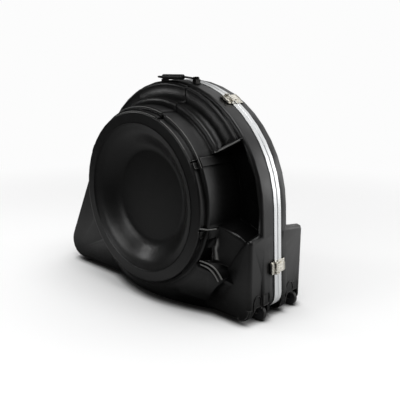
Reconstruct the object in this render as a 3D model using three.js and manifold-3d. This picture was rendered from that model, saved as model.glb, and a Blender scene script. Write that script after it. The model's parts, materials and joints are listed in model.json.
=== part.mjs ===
import * as THREE from "three";
import { mergeVertices } from "three/addons/utils/BufferGeometryUtils.js";
import Module from "manifold-3d";

// A hard travel case for a sousaphone, standing on its feet and its two wheels. X runs along the
// case, Y from front to back and Z up, in millimetres. The seam of the halves lies at Y 0 and the
// drum's axis at X 0, until the last lines move the origin to the middle of the footprint.

const wasm = await Module();
wasm.setup();

// Outline of the valance: the crown, the toe and the heel, joined by straight sides; the crown is
// as high as the drum under it needs to clear the feet
const crownRadius = 490;
const footHeight = 14;
const ringInset = 145;
const ringRadius = crownRadius - ringInset;
const drumClear = 79.5;
const drumHeight = footHeight + ringRadius + drumClear;
const drumLift = 27.5;
const crownHeight = drumHeight - drumLift;
const toeRadius = 78;
const toeSpread = 104;
const toeReach = crownRadius + toeSpread;
const heelRadius = 60;
const heelInset = 44;
const heelReach = crownRadius - heelInset;
const bottomHeight = 36;

// Shell walls
const wall = 4.5;
const gap = 0.3;
const overrun = 5;
const valanceProud = 2;
const bandDepth = 68;
const bandRounding = 12;
const backBandDepth = 45;
const bandDraftShare = 0.025;

// Drum for the bell, round its own axis; depths are measured from the shell's mouth
const tierInset = 42;
const tierRadius = crownRadius - tierInset;
const tierDepth = 85;
const tierRounding = 7;
const tierHalfAngle = 57;
const ringStep = 17;
const ringWidth = 43;
const ringInnerRadius = ringRadius - ringWidth;
const ringRounding = 8;
const drumRadius = ringRadius + ringStep;
const drumDepth = 219;
const drumRounding = 9;
const ringRise = 27;
const ringDepth = drumDepth + ringRise;
const baseStep = 29;
const drumBaseRadius = drumRadius + baseStep;
const drumBaseDepth = 128;
const drumBaseRounding = 13;
const beadWidth = 5;
const beadHeight = 2;
const dishStep = 4;
const dishRimDepth = ringDepth - dishStep;
const dishRadius = 181;
const dishFall = 65;
const dishDepth = dishRimDepth - dishFall;

// Lower skirt under the drum, cut flat at the feet's height
const skirtSpread = 246;
const skirtReach = ringRadius + skirtSpread;
const skirtRise = 33;
const skirtTopRadius = ringRadius + skirtRise;
const skirtStep = 5;
const skirtTopDepth = drumDepth - skirtStep;
const skirtHalfAngle = 55;
const skirtRimAngle = 53.6;
const skirtRimProud = 3;
const skirtStart = 15;
const backSkirtRise = 55;
const backSkirtTopRadius = ringRadius + backSkirtRise;
const backSkirtTopDepth = 110;

// Back bulge
const bulgeSpread = 43;
const bulgeRadius = ringRadius + bulgeSpread;
const bulgeDepth = 104;
const bulgeRounding = 26;
const bulgePanelInset = 23;
const bulgePanelRadius = ringRadius - bulgePanelInset;
const bulgePanelDepth = 138;
const bulgePanelRounding = 18;

// Moulded feet
const footDepth = 134;
const backFootDepth = 150;
const footRounding = 14;
const footStart = 15;
const heelFootRadius = 30;
const heelFootShift = 17;
const heelFootReach = heelReach + heelFootShift;
const heelTopRadius = 20;
const heelTopShare = 0.667;
const heelTopInset = 21;
const heelTopRise = 18;
const heelInnerReach = 264;
const toeFootRadius = 82;
const toeFootShift = 4;
const toeFootReach = toeReach + toeFootShift;
const toeTopRadius = 60;
const toeTopShare = 0.308;
const toeTopInset = 79;
const toeInnerRadius = 30;
const toeInnerReach = 300;
const toeInnerHeight = 400;
const toeEndRadius = 24;
const toeEndReach = 150;

// Shelf that slopes from the drum to the heel foot and flat panel below it on the skirt, as
// corners of reach, height and depth
const shelfCorners = [
  [330, 384, 166],
  [330, 236, 166],
  [402, 214, 128],
  [472, 322, 122],
  [414, 356, 126],
];
const panelCorners = [
  [168, 120, 209],
  [188, 75, 198],
  [308, 75, 180],
  [356, 132, 178],
  [392, 182, 178],
  [374, 214, 184],
  [344, 236, 194],
  [300, 240, 204],
];
const plateInnerShare = 0.86;
const plateStart = 100;

// Valleys beside the drum, inside a rim that the band keeps
const valleyDepth = 36;
const valleyInset = 24;
const valleyDraft = 4;
const valleyHalfAngle = 31;
const valleyMiddle = 3;
const halfTurn = 180;

// Ribs of the drum
const ribWidth = 34;
const ribProud = 5;
const ribStart = 60;
const ribEnd = 214;
const ribRingEnd = 238;
const ribRingProud = 5;
const ribAngles = [29.3, 150.7, 193.5, -13.5];

// Raised section at the top of the drum, between two creases
const creaseProud = 4;
const creaseLow = 240;
const creaseHigh = 520;
const creaseRight = 124;
const creaseRightTop = 104;
const creaseLeft = 84;
const creaseLeftTop = 236;

// Gusset ribs at the ends of the crown tier
const gussetAngle = 33.6;
const gussetWidth = 7;
const gussetInnerReach = 10;
const gussetInnerDepth = 131;
const gussetOuterReach = 100;
const gussetOuterDepth = 82;

// Valance
const valanceDepth = 21;
const valanceWidth = 10;
const lipDepth = 14;
const seamGap = 0.3;
const grooveWidth = 3;
const grooveDepth = 2.5;
const sealInset = 4.5;
const sealWidth = 3.4;
const sealDepth = 3;

// Wheels
const wheelRadius = 32;
const wheelWidth = 20;
const wheelShift = 20;
const wheelReach = heelReach + wheelShift;
const wheelDepth = 46;
const backWheelDepth = 114;
const tyreThickness = 7;
const tyreRounding = 3;
const hubClearance = 0.3;
const axleRadius = 4;
const axleSeat = 3.6;
const wellClearance = 6;
const wellSide = 4;
const wellTopRadius = 22;
const wellTopShift = 54;
const wellTopReach = wheelReach + wellTopShift;
const wellTopHeight = 104;
const wellOutShift = 94;
const wellOutReach = wheelReach + wellOutShift;
const wellOutHeight = 40;

// Rubber feet
const padRadius = 17;
const padToeInset = 19;
const padToeReach = toeReach - padToeInset;
const padToeDepth = 100;
const padMiddleReach = 30;
const padMiddleDepth = 150;
const padBackDepth = 62;

// Hinges under the valance
const hingeLength = 72;
const hingePinRadius = 2.2;
const hingeKnuckleRadius = 5;
const hingeLeafThickness = 2;
const hingeLeafDepth = 17;
const hingeReaches = [-400, -70, 250];
const hingePinHead = 1.5;

// Latches, each in its own frame: X along the outline, Y across the seam, Z outwards
const latchWidth = 50;
const latchBaseDepth = 44;
const latchKeeperDepth = 38;
const latchPlate = 2;
const latchCheek = 3;
const latchCheekHeight = 12;
const latchPinRadius = 2;
const latchPinHeight = 7;
const latchPinDepth = 15;
const leverThickness = 2.5;
const leverTip = 4;
const hookPivotBack = 7;
const hookPivotRise = 4;
const hookThickness = 2.4;
const hookWidth = 30;
const hookReach = 24;
const hookClearance = 0.7;
const hookBarrelRadius = 3;
const keeperLugDepth = 12;
const keeperLugWidth = 24;
const keeperLugStart = 8;
const upperLatchAngle = 58;
const heelLatchShare = 0.33;
const toeLatchShare = 0.72;

// Carrying handle
const handleMiddle = 20;
const handleHalfSpan = 92;
const handleDepth = 25;
const handleRise = 3;
const handleHeight = crownHeight + crownRadius + handleRise;
const handleReach = 48;
const handleLift = 6;
const bailRadius = 4;
const bailEye = 6.5;
const bailEyeLength = 8;
const gripRadius = 10.5;
const gripHalfLength = 60;
const gripMiddle = 28;
const gripRounding = 3;
const bracketLength = 18;
const bracketWidth = 26;
const bracketBoss = 7.5;
const bracketSink = 20;
const handlePinRadius = 3;
const handlePinHead = 5;
const handlePinHeadLength = 2;

// Pads inside
const padGap = 0.4;
const bellPadWidth = 34;
const bellPadDepth = 30;
const throatPadRadius = 160;
const throatPadDepth = 22;
const cradleLength = 260;
const cradleMiddle = -170;
const cradleHeight = 66;
const cradleDepth = 42;
const cradleHollow = 95;
const cradleHollowHeight = 160;

// Smoothness
const crownSteps = 20;
const toeSteps = 6;
const heelSteps = 5;
const footSteps = 3;
const roundSteps = 3;
const latheSteps = 48;
const dishSteps = 6;
const rodSteps = 16;
const barSteps = 10;
const wheelSteps = 24;

const shellPlastic = new THREE.MeshStandardMaterial({ color: 0x141416, roughness: 0.5 });
const aluminium = new THREE.MeshStandardMaterial({ color: 0xc9ccd0, roughness: 0.35, metalness: 1 });
const nickel = new THREE.MeshStandardMaterial({ color: 0xd6d6d2, roughness: 0.2, metalness: 1 });
const steel = new THREE.MeshStandardMaterial({ color: 0x9a9ca0, roughness: 0.4, metalness: 1 });
const rubber = new THREE.MeshStandardMaterial({ color: 0x0c0c0c, roughness: 0.8 });
const hubPlastic = new THREE.MeshStandardMaterial({ color: 0x1c1c1e, roughness: 0.45 });
const foam = new THREE.MeshStandardMaterial({ color: 0x26262a, roughness: 0.95 });

// Geometry with its faces turned outwards and only the triangles that have an area
function outward(geometry) {
  const bare = geometry.clone();
  bare.deleteAttribute("normal");
  bare.deleteAttribute("uv");
  const merged = mergeVertices(bare);
  const position = merged.getAttribute("position");
  const corners = merged.index.array;
  const kept = [];
  const a = new THREE.Vector3();
  const b = new THREE.Vector3();
  const c = new THREE.Vector3();
  let volume = 0;
  for (let i = 0; i < corners.length; i += 3) {
    const [p, q, r] = corners.slice(i, i + 3);
    if (p === q || q === r || r === p) continue;
    a.fromBufferAttribute(position, p);
    b.fromBufferAttribute(position, q);
    c.fromBufferAttribute(position, r);
    volume += a.dot(b.cross(c));
    kept.push(p, q, r);
  }
  if (volume < 0) kept.reverse();
  merged.setIndex(kept);
  return merged;
}

function solidOf(geometry) {
  const closed = outward(geometry);
  const vertProperties = new Float32Array(closed.getAttribute("position").array);
  const triVerts = new Uint32Array(closed.index.array);
  return new wasm.Manifold(new wasm.Mesh({ numProp: 3, vertProperties, triVerts }));
}

function geometryOf(solid) {
  const mesh = solid.getMesh();
  const geometry = new THREE.BufferGeometry();
  geometry.setAttribute("position", new THREE.BufferAttribute(mesh.vertProperties, 3));
  geometry.setIndex(new THREE.BufferAttribute(mesh.triVerts, 1));
  geometry.computeVertexNormals();
  return geometry;
}

function joined(...solids) {
  return solids.reduce((whole, solid) => whole.add(solid));
}

function piece(name, solid, material) {
  const mesh = new THREE.Mesh(geometryOf(solid), material);
  mesh.name = name;
  return mesh;
}

// A block between two corners
function block([x0, y0, z0], [x1, y1, z1]) {
  const geometry = new THREE.BoxGeometry(x1 - x0, y1 - y0, z1 - z0);
  return solidOf(geometry.translate((x0 + x1) / 2, (y0 + y1) / 2, (z0 + z1) / 2));
}

// A round bar along X
function bar(radius, x0, x1, y, z) {
  const geometry = new THREE.CylinderGeometry(radius, radius, x1 - x0, barSteps);
  return solidOf(geometry.rotateZ(Math.PI / 2).translate((x0 + x1) / 2, y, z));
}

// The place in Y of a depth into the front half, whose mouth is at depth 0
function frontY(depth) {
  return -valanceDepth - depth;
}

// A round body about an axis along Y, from a profile of radii and depths that ends on the axis
function turned(profile, x, z, steps = latheSteps) {
  const points = profile.map(([radius, depth]) => new THREE.Vector2(radius, frontY(depth)));
  return solidOf(new THREE.LatheGeometry(points, steps).translate(x, 0, z));
}

// A front solid mirrored across the seam
function mirrored(solid) {
  return solidOf(geometryOf(solid).applyMatrix4(new THREE.Matrix4().makeScale(1, -1, 1)));
}

// Angle of the outward normal of the straight side from one circle to the next
function sideNormal(from, to) {
  const along = Math.atan2(to.z - from.z, to.x - from.x);
  const reach = Math.hypot(to.x - from.x, to.z - from.z);
  return along - Math.acos((from.radius - to.radius) / reach);
}

// The band round a loop of circles, anticlockwise, drawn in by an inset
function hullRing(circles, inset) {
  const count = circles.length;
  const normals = circles.map((circle, i) => sideNormal(circle, circles[(i + 1) % count]));
  return circles.flatMap((circle, i) => {
    const start = normals[(i + count - 1) % count];
    const sweep = THREE.MathUtils.euclideanModulo(normals[i] - start, 2 * Math.PI);
    return Array.from({ length: circle.steps + 1 }, (unused, step) => {
      const angle = start + (sweep * step) / circle.steps;
      const radius = circle.radius - inset;
      return [circle.x + radius * Math.cos(angle), circle.z + radius * Math.sin(angle)];
    });
  });
}

// A closed body through levels, each a ring of points at one depth or at a depth for each point
function loft(levels) {
  const count = levels[0].ring.length;
  const positions = levels.flatMap(({ ring, depth }) => {
    return ring.flatMap(([x, z], i) => [x, frontY(Array.isArray(depth) ? depth[i] : depth), z]);
  });
  const faces = [];
  for (let level = 0; level + 1 < levels.length; level++) {
    for (let i = 0; i < count; i++) {
      const a = level * count + i;
      const b = level * count + ((i + 1) % count);
      faces.push(a, b, b + count, a, b + count, a + count);
    }
  }
  const cap = (level, turn) => {
    const flat = levels[level].ring.map(([x, z]) => new THREE.Vector2(x, z));
    THREE.ShapeUtils.triangulateShape(flat, []).forEach((face) => {
      const corners = face.map((corner) => corner + level * count);
      faces.push(...(turn ? corners.reverse() : corners));
    });
  };
  cap(0, true);
  cap(levels.length - 1, false);
  const geometry = new THREE.BufferGeometry();
  geometry.setAttribute("position", new THREE.Float32BufferAttribute(positions, 3));
  geometry.setIndex(faces);
  return solidOf(geometry);
}

// Depths and insets of a side wall that leans in and rounds over into its face
function sideLevels(start, depth, inset, rounding) {
  const leaned = inset + bandDraftShare * (depth - rounding - start);
  const levels = [[start, inset]];
  for (let step = 0; step <= roundSteps; step++) {
    const angle = ((Math.PI / 2) * step) / roundSteps;
    levels.push([depth - rounding * (1 - Math.sin(angle)), leaned + rounding * (1 - Math.cos(angle))]);
  }
  return levels;
}

// A profile of radii and depths, from its rim to the axis, moved inwards by a distance
function insetProfile(profile, distance) {
  const normal = (from, to) => {
    const across = to[0] - from[0];
    const down = to[1] - from[1];
    const length = Math.hypot(across, down);
    return [-down / length, across / length];
  };
  return profile.map((point, i) => {
    const last = profile.length - 1;
    const before = normal(profile[Math.max(i - 1, 0)], profile[Math.max(i, 1)]);
    const after = normal(profile[Math.min(i, last - 1)], profile[Math.min(i + 1, last)]);
    const share = distance / (1 + before[0] * after[0] + before[1] * after[1]);
    return [point[0] + share * (before[0] + after[0]), point[1] + share * (before[1] + after[1])];
  });
}

// Points of a rounded edge that turns from the rim into the face
function edge(radius, depth, rounding) {
  return Array.from({ length: roundSteps + 1 }, (unused, step) => {
    const angle = ((Math.PI / 2) * step) / roundSteps;
    return [radius - rounding * (1 - Math.cos(angle)), depth - rounding * (1 - Math.sin(angle))];
  });
}

const crown = { x: 0, z: crownHeight, radius: crownRadius, steps: crownSteps };
const toe = { x: -toeReach, z: bottomHeight + toeRadius, radius: toeRadius, steps: toeSteps };
const heel = { x: heelReach, z: bottomHeight + heelRadius, radius: heelRadius, steps: heelSteps };
const outline = [crown, toe, heel];
const far = crownRadius + toeReach;

// A place on the straight side between two circles, by its share of the way
function sidePlace(from, to, share) {
  const normal = sideNormal(from, to);
  const touch = ({ x, z, radius }) => [x + radius * Math.cos(normal), z + radius * Math.sin(normal)];
  const [x0, z0] = touch(from);
  const [x1, z1] = touch(to);
  return [THREE.MathUtils.lerp(x0, x1, share), THREE.MathUtils.lerp(z0, z1, share), normal];
}

// A circle's centre that lies inside a straight side of the outline, by its share of the way
function insidePlace(from, to, share, inset) {
  const [x, z, normal] = sidePlace(from, to, share);
  return { x: x - inset * Math.cos(normal), z: z - inset * Math.sin(normal) };
}

function band(depth, thickness, mouth) {
  const levels = sideLevels(mouth, depth - thickness, valanceProud + thickness, bandRounding - thickness);
  return loft(levels.map(([level, inset]) => ({ depth: level, ring: hullRing(outline, inset) })));
}

// A pie slice about the drum's axis, whose straight sides are drawn in by a thickness
function sector(middle, half, thickness) {
  const bisector = THREE.MathUtils.degToRad(middle);
  const spread = THREE.MathUtils.degToRad(half);
  const set = thickness / Math.sin(spread);
  const apex = [set * Math.cos(bisector), drumHeight + set * Math.sin(bisector)];
  const corner = (angle) => [apex[0] + far * Math.cos(angle), apex[1] + far * Math.sin(angle)];
  const ring = [apex, corner(bisector - spread), corner(bisector), corner(bisector + spread)];
  return loft([
    { depth: -overrun, ring },
    { depth: ringDepth, ring },
  ]);
}

function crownTier(thickness) {
  const profile = [
    [tierRadius, bandDepth - bandRounding],
    ...edge(tierRadius, tierDepth, tierRounding),
    [0, tierDepth],
  ];
  const base = [
    [drumBaseRadius, bandDepth - bandRounding],
    ...edge(drumBaseRadius, drumBaseDepth + drumBaseRounding, drumBaseRounding).slice(0, roundSteps),
    [drumRadius, drumBaseDepth + drumBaseRounding],
    [0, drumBaseDepth + drumBaseRounding],
  ];
  const round = [profile, base].map((points) => {
    const moved = insetProfile(points, thickness);
    return turned([[0, moved[0][1]], ...moved], 0, drumHeight);
  });
  return joined(...round).intersect(sector(90, tierHalfAngle, thickness));
}

// The raised top section: the tier and the drum, proud of their neighbours between two creases
function crest() {
  const ring = [
    [-creaseLeft, drumHeight + creaseLow],
    [creaseRight, drumHeight + creaseLow],
    [creaseRightTop, drumHeight + creaseHigh],
    [-creaseLeftTop, drumHeight + creaseHigh],
  ];
  const between = loft([
    { depth: bandDepth - bandRounding, ring },
    { depth: ringDepth + creaseProud, ring },
  ]);
  const wallProfile = [
    [0, drumBaseDepth],
    [drumRadius + creaseProud, drumBaseDepth],
    [drumRadius + creaseProud, drumDepth - drumRounding],
    [drumRadius - drumRounding + creaseProud, drumDepth],
    [ringRadius + creaseProud, drumDepth],
    [ringRadius + creaseProud, ringDepth - ringRounding],
    [ringRadius - ringRounding, ringDepth],
    [0, ringDepth],
  ];
  const raised = crownTier(-creaseProud).add(turned(wallProfile, 0, drumHeight));
  const dish = turned(
    [
      [0, drumBaseDepth - overrun],
      [ringRadius - ringRounding, drumBaseDepth - overrun],
      [ringRadius - ringRounding, ringDepth + overrun],
      [0, ringDepth + overrun],
    ],
    0,
    drumHeight,
  );
  return raised.subtract(dish).intersect(between);
}

// A thin rib that slopes from the drum to the band at an end of the crown tier
function gusset(angle) {
  const corner = (reach, depth) => new THREE.Vector2(drumRadius + reach, frontY(depth));
  const corners = [
    corner(-overrun, valleyDepth - overrun),
    corner(gussetOuterReach + overrun, valleyDepth - overrun),
    corner(gussetOuterReach, gussetOuterDepth),
    corner(gussetInnerReach, gussetInnerDepth),
    corner(-overrun, gussetInnerDepth),
  ];
  const sheet = { depth: gussetWidth, bevelEnabled: false };
  const flat = new THREE.ExtrudeGeometry(new THREE.Shape(corners), sheet);
  const turn = -THREE.MathUtils.degToRad(angle);
  return solidOf(flat.translate(0, 0, -gussetWidth / 2).rotateY(turn).translate(0, 0, drumHeight));
}

// The dish falls from the ring to the middle panel in an S
function dishPoints() {
  return Array.from({ length: dishSteps + 1 }, (unused, step) => {
    const share = step / dishSteps;
    const fall = (1 - Math.cos(Math.PI * share)) / 2;
    const rim = ringInnerRadius - beadWidth;
    return [rim + (dishRadius - rim) * share, dishRimDepth + (dishDepth - dishRimDepth) * fall];
  });
}

function drum(thickness, mouth) {
  const groove = [[ringRadius, drumDepth]];
  const bead = [
    [ringInnerRadius, ringDepth],
    [ringInnerRadius - beadWidth / 2, ringDepth + beadHeight],
  ];
  const core = [
    [drumRadius, mouth],
    ...edge(drumRadius, drumDepth, drumRounding).slice(0, thickness ? 1 : undefined),
    ...(thickness ? [[drumRadius, drumDepth]] : groove),
    ...(thickness ? [[ringRadius, drumDepth]] : []),
    ...edge(ringRadius, ringDepth, ringRounding).slice(0, thickness ? 0 : undefined),
    ...(thickness ? [[ringRadius, ringDepth], [ringInnerRadius, ringDepth]] : bead),
    ...dishPoints(),
    [0, dishDepth],
  ];
  const moved = insetProfile(core, thickness);
  return turned([[0, mouth], ...moved], 0, drumHeight);
}

function skirt(topRadius, topDepth, faceDepth, thickness) {
  const start = [ringRadius, skirtStart + thickness];
  const profile = [
    [skirtReach, start[1]],
    [skirtReach, faceDepth],
    [topRadius, topDepth],
    [ringRadius, topDepth],
  ];
  const cone = turned([start, ...insetProfile(profile, thickness), start], 0, drumHeight);
  const floor = block([-far, frontY(far), footHeight + thickness], [far, 0, drumHeight]);
  return cone.intersect(sector(-90, skirtHalfAngle, thickness)).intersect(floor);
}

// The raised rim along an end of the skirt
function skirtRim() {
  const proud = skirt(skirtTopRadius, skirtTopDepth, bandDepth, -skirtRimProud);
  return proud.subtract(sector(-90, skirtRimAngle, 0));
}

// The band's front face falls away beside the drum, at both ends of the crown tier
function valleys(growth) {
  const at = (depth, inset) => ({ depth, ring: hullRing(outline, inset - growth) });
  const hollow = loft([
    at(valleyDepth - growth, valleyInset + valleyDraft),
    at(bandDepth + overrun, valleyInset),
  ]);
  const right = sector(valleyMiddle, valleyHalfAngle, -growth);
  const left = sector(halfTurn - valleyMiddle, valleyHalfAngle, -growth);
  return hollow.intersect(right.add(left));
}

function bulge(thickness, mouth) {
  const profile = [
    [bulgeRadius, mouth],
    ...edge(bulgeRadius, bulgeDepth, bulgeRounding),
    ...edge(bulgePanelRadius, bulgePanelDepth, bulgePanelRounding),
    [0, bulgePanelDepth],
  ];
  return turned([[0, mouth], ...insetProfile(profile, thickness)], 0, drumHeight);
}

function foot(circlesAt, depth, thickness) {
  const levels = sideLevels(footStart + thickness, depth - thickness, thickness, footRounding - thickness);
  const at = ([level, inset]) => ({ depth: level, ring: hullRing(circlesAt(level / depth), inset) });
  return loft(levels.map(at));
}

function heelFoot(share) {
  const rise = heelTopRise * (1 - share);
  const top = insidePlace(heel, crown, heelTopShare, heelTopInset);
  return [
    { x: top.x, z: top.z + rise, radius: heelTopRadius, steps: footSteps },
    { x: heelInnerReach, z: footHeight + heelTopRadius, radius: heelTopRadius, steps: footSteps },
    { x: heelFootReach, z: footHeight + heelFootRadius, radius: heelFootRadius, steps: heelSteps },
  ];
}

function toeFoot() {
  const top = insidePlace(crown, toe, toeTopShare, toeTopInset);
  return [
    { x: -toeInnerReach, z: toeInnerHeight, radius: toeInnerRadius, steps: footSteps },
    { ...top, radius: toeTopRadius, steps: footSteps },
    { x: -toeFootReach, z: footHeight + toeFootRadius, radius: toeFootRadius, steps: toeSteps },
    { x: -toeEndReach, z: footHeight + toeEndRadius, radius: toeEndRadius, steps: footSteps },
  ];
}

// A block between given corners; its hollow is a smaller copy of itself
function plate(plateCorners, start, thickness) {
  const share = thickness ? plateInnerShare : 1;
  const middle = [0, 1].map((axis) => {
    return plateCorners.reduce((sum, corner) => sum + corner[axis], 0) / plateCorners.length;
  });
  const ring = plateCorners.map(([x, z]) => {
    return [THREE.MathUtils.lerp(middle[0], x, share), THREE.MathUtils.lerp(middle[1], z, share)];
  });
  const depths = plateCorners.map((corner) => corner[2] - thickness);
  return loft([
    { depth: start + thickness, ring },
    { depth: depths, ring },
  ]);
}

function feet(depth, thickness) {
  return foot(heelFoot, depth, thickness).add(foot(toeFoot, depth, thickness));
}

// Raised ribs that run along the drum's side wall
function ribs() {
  const across = ribWidth / 2;
  const inner = ringRadius - ringRounding;
  return ribAngles.map((angle) => {
    const rib = joined(
      block([-across, frontY(ribEnd), inner], [across, frontY(ribStart), drumRadius + ribProud]),
      block([-across, frontY(ribRingEnd), inner], [across, frontY(ribStart), ringRadius + ribRingProud]),
    );
    const turn = THREE.MathUtils.degToRad(90 - angle);
    return solidOf(geometryOf(rib).rotateY(turn).translate(0, 0, drumHeight));
  });
}

// The wheel's pocket, open to the floor and to the side
function well(depth, growth) {
  const side = wheelWidth / 2 + wellSide + growth;
  const circles = [
    { x: wellTopReach, z: wellTopHeight, radius: wellTopRadius, steps: heelSteps },
    { x: wheelReach, z: wheelRadius, radius: wheelRadius + wellClearance, steps: toeSteps },
    { x: wellOutReach, z: wellOutHeight, radius: wheelRadius + wellClearance, steps: footSteps },
  ];
  const ring = hullRing(circles, -growth);
  return loft([
    { depth: depth - side, ring },
    { depth: depth + side, ring },
  ]);
}

function axleBore(depth) {
  const half = wheelWidth / 2 + wellSide + axleSeat;
  const points = [
    [0, depth - half],
    [axleRadius + gap, depth - half],
    [axleRadius + gap, depth + half],
    [0, depth + half],
  ];
  return turned(points, wheelReach, wheelRadius, rodSteps);
}

function shellOf(form, wheelAt) {
  const outer = form(0, gap);
  const liner = well(wheelAt, wall).intersect(outer);
  const lined = outer.subtract(form(wall, -overrun)).add(liner);
  return lined.subtract(well(wheelAt, 0)).subtract(axleBore(wheelAt));
}

function frontForm(thickness, mouth) {
  const body = joined(
    band(bandDepth, thickness, mouth).subtract(valleys(thickness)),
    crownTier(thickness),
    drum(thickness, mouth),
    skirt(skirtTopRadius, skirtTopDepth, bandDepth, thickness),
    feet(footDepth, thickness),
    plate(shelfCorners, footStart, thickness),
    plate(panelCorners, plateStart, thickness),
  );
  const gussets = [gussetAngle, halfTurn - gussetAngle].map(gusset);
  return thickness ? body : joined(body, crest(), skirtRim(), ...gussets, ...ribs());
}

function backForm(thickness, mouth) {
  return joined(
    band(backBandDepth, thickness, mouth),
    bulge(thickness, mouth),
    skirt(backSkirtTopRadius, backSkirtTopDepth, backBandDepth, thickness),
    feet(backFootDepth, thickness),
  );
}

// Ring between two insets of the outline, from one depth to another
function outlineRing(outer, inner, start, end) {
  const at = (inset, depth) => ({ depth, ring: hullRing(outline, inset) });
  return loft([at(outer, start), at(outer, end)]).subtract(
    loft([at(inner, start - overrun), at(inner, end + overrun)]),
  );
}

function valance() {
  const lipInset = valanceProud + wall + gap + bandDraftShare * (lipDepth + overrun);
  const at = (depth, inset) => ({ depth, ring: hullRing(outline, inset) });
  const outer = loft([
    at(seamGap - valanceDepth, grooveDepth),
    at(grooveWidth - valanceDepth, 0),
    at(0, 0),
    at(0, lipInset),
    at(lipDepth, lipInset),
  ]);
  return outer.subtract(
    loft([at(-valanceDepth - overrun, valanceWidth), at(lipDepth + overrun, valanceWidth)]),
  );
}

const rebate = outlineRing(
  sealInset,
  sealInset + sealWidth,
  -valanceDepth - overrun,
  sealDepth - valanceDepth,
);
const seal = outlineRing(
  sealInset + gap,
  sealInset + sealWidth - gap,
  -valanceDepth,
  sealDepth - gap - valanceDepth,
);

const frontHalf = new THREE.Group();
const backHalf = new THREE.Group();
frontHalf.add(piece("front_shell", shellOf(frontForm, wheelDepth), shellPlastic));
frontHalf.add(piece("front_valance", valance().subtract(rebate), aluminium));
frontHalf.add(piece("seal_ring", seal, rubber));
backHalf.add(piece("back_shell", mirrored(shellOf(backForm, backWheelDepth)), shellPlastic));
backHalf.add(piece("back_valance", mirrored(valance()), aluminium));

// A wheel with its tyre, hub and axle, made as a front one and mirrored for the back
function wheelPieces(depth) {
  const half = wheelWidth / 2;
  const hubRadius = wheelRadius - tyreThickness;
  const bore = axleRadius + hubClearance;
  const round = (profile, steps) => turned(profile, wheelReach, wheelRadius, steps);
  const tyre = round(
    [
      [hubRadius + gap, depth - half],
      [wheelRadius - tyreRounding, depth - half],
      [wheelRadius, depth - half + tyreRounding],
      [wheelRadius, depth + half - tyreRounding],
      [wheelRadius - tyreRounding, depth + half],
      [hubRadius + gap, depth + half],
      [hubRadius + gap, depth - half],
    ],
    wheelSteps,
  );
  const hub = round(
    [
      [bore, depth - half],
      [hubRadius, depth - half],
      [hubRadius, depth + half],
      [bore, depth + half],
      [bore, depth - half],
    ],
    wheelSteps,
  );
  const seat = half + wellSide + axleSeat - gap;
  const axle = round(
    [
      [0, depth - seat],
      [axleRadius, depth - seat],
      [axleRadius, depth + seat],
      [0, depth + seat],
    ],
    rodSteps,
  );
  return { tyre, hub, axle };
}

function addWheel(group, name, depth, turn) {
  const { tyre, hub, axle } = wheelPieces(depth);
  group.add(piece(name + "_tyre", turn(tyre), rubber));
  group.add(piece(name + "_hub", turn(hub), hubPlastic));
  group.add(piece(name + "_axle", turn(axle), steel));
}

const same = (solid) => solid;
addWheel(frontHalf, "front_wheel", wheelDepth, same);
addWheel(backHalf, "back_wheel", backWheelDepth, mirrored);

// A rubber pad that fills the space under a foot, whose bottom rises with the draft
function rubberPad(x, depth, rise) {
  const height = footHeight + rise - gap;
  const geometry = new THREE.CylinderGeometry(padRadius, padRadius, height, rodSteps);
  return solidOf(geometry.rotateX(Math.PI / 2).translate(x, frontY(depth), height / 2));
}

const toeRise = bandDraftShare * (padToeDepth - padRadius - footStart);
frontHalf.add(piece("front_toe_pad", rubberPad(-padToeReach, padToeDepth, toeRise), rubber));
frontHalf.add(piece("front_middle_pad", rubberPad(padMiddleReach, padMiddleDepth, 0), rubber));
backHalf.add(piece("back_toe_pad", mirrored(rubberPad(-padToeReach, padToeDepth, toeRise)), rubber));
backHalf.add(piece("back_middle_pad", mirrored(rubberPad(padMiddleReach, padBackDepth, 0)), rubber));

// Three hinges under the valance; the front leaf has the outer knuckles, the back one the middle
const hingeAxisHeight = bottomHeight - gap - hingeKnuckleRadius - gap;

function hingePieces(x) {
  const half = hingeLength / 2;
  const third = hingeLength / 6;
  const leafTop = bottomHeight - gap;
  const leafBottom = leafTop - hingeLeafThickness;
  const clear = hingeKnuckleRadius + gap + gap;
  const bore = bar(hingePinRadius + gap, x - half - overrun, x + half + overrun, 0, hingeAxisHeight);
  const leaf = (side, reach) =>
    block(
      [x - half, side < 0 ? -hingeLeafDepth : reach, leafBottom],
      [x + half, side < 0 ? -reach : hingeLeafDepth, leafTop],
    );
  const knuckle = (from, to, side) =>
    bar(hingeKnuckleRadius, x + from, x + to, 0, hingeAxisHeight).add(
      block(
        [x + from, side < 0 ? -clear - overrun : 0, leafBottom],
        [x + to, side < 0 ? 0 : clear + overrun, hingeAxisHeight + hingeKnuckleRadius],
      ),
    );
  const front = joined(leaf(-1, clear), knuckle(-half, -third - gap, -1), knuckle(third + gap, half, -1));
  const back = joined(leaf(1, clear), knuckle(-third, third, 1));
  const pin = bar(hingePinRadius, x - half, x + half, 0, hingeAxisHeight).add(
    bar(hingeKnuckleRadius, x + half + gap, x + half + gap + hingePinHead, 0, hingeAxisHeight),
  );
  const shank = bar(hingePinRadius, x + half - gap, x + half + gap + gap, 0, hingeAxisHeight);
  return { front: front.subtract(bore), back: back.subtract(bore), pin: pin.add(shank) };
}

hingeReaches.forEach((x, i) => {
  const { front, back, pin } = hingePieces(x);
  const name = "hinge_" + (i + 1);
  frontHalf.add(piece(name + "_front_leaf", front, steel));
  backHalf.add(piece(name + "_back_leaf", back, steel));
  frontHalf.add(piece(name + "_pin", pin, steel));
});

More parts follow.
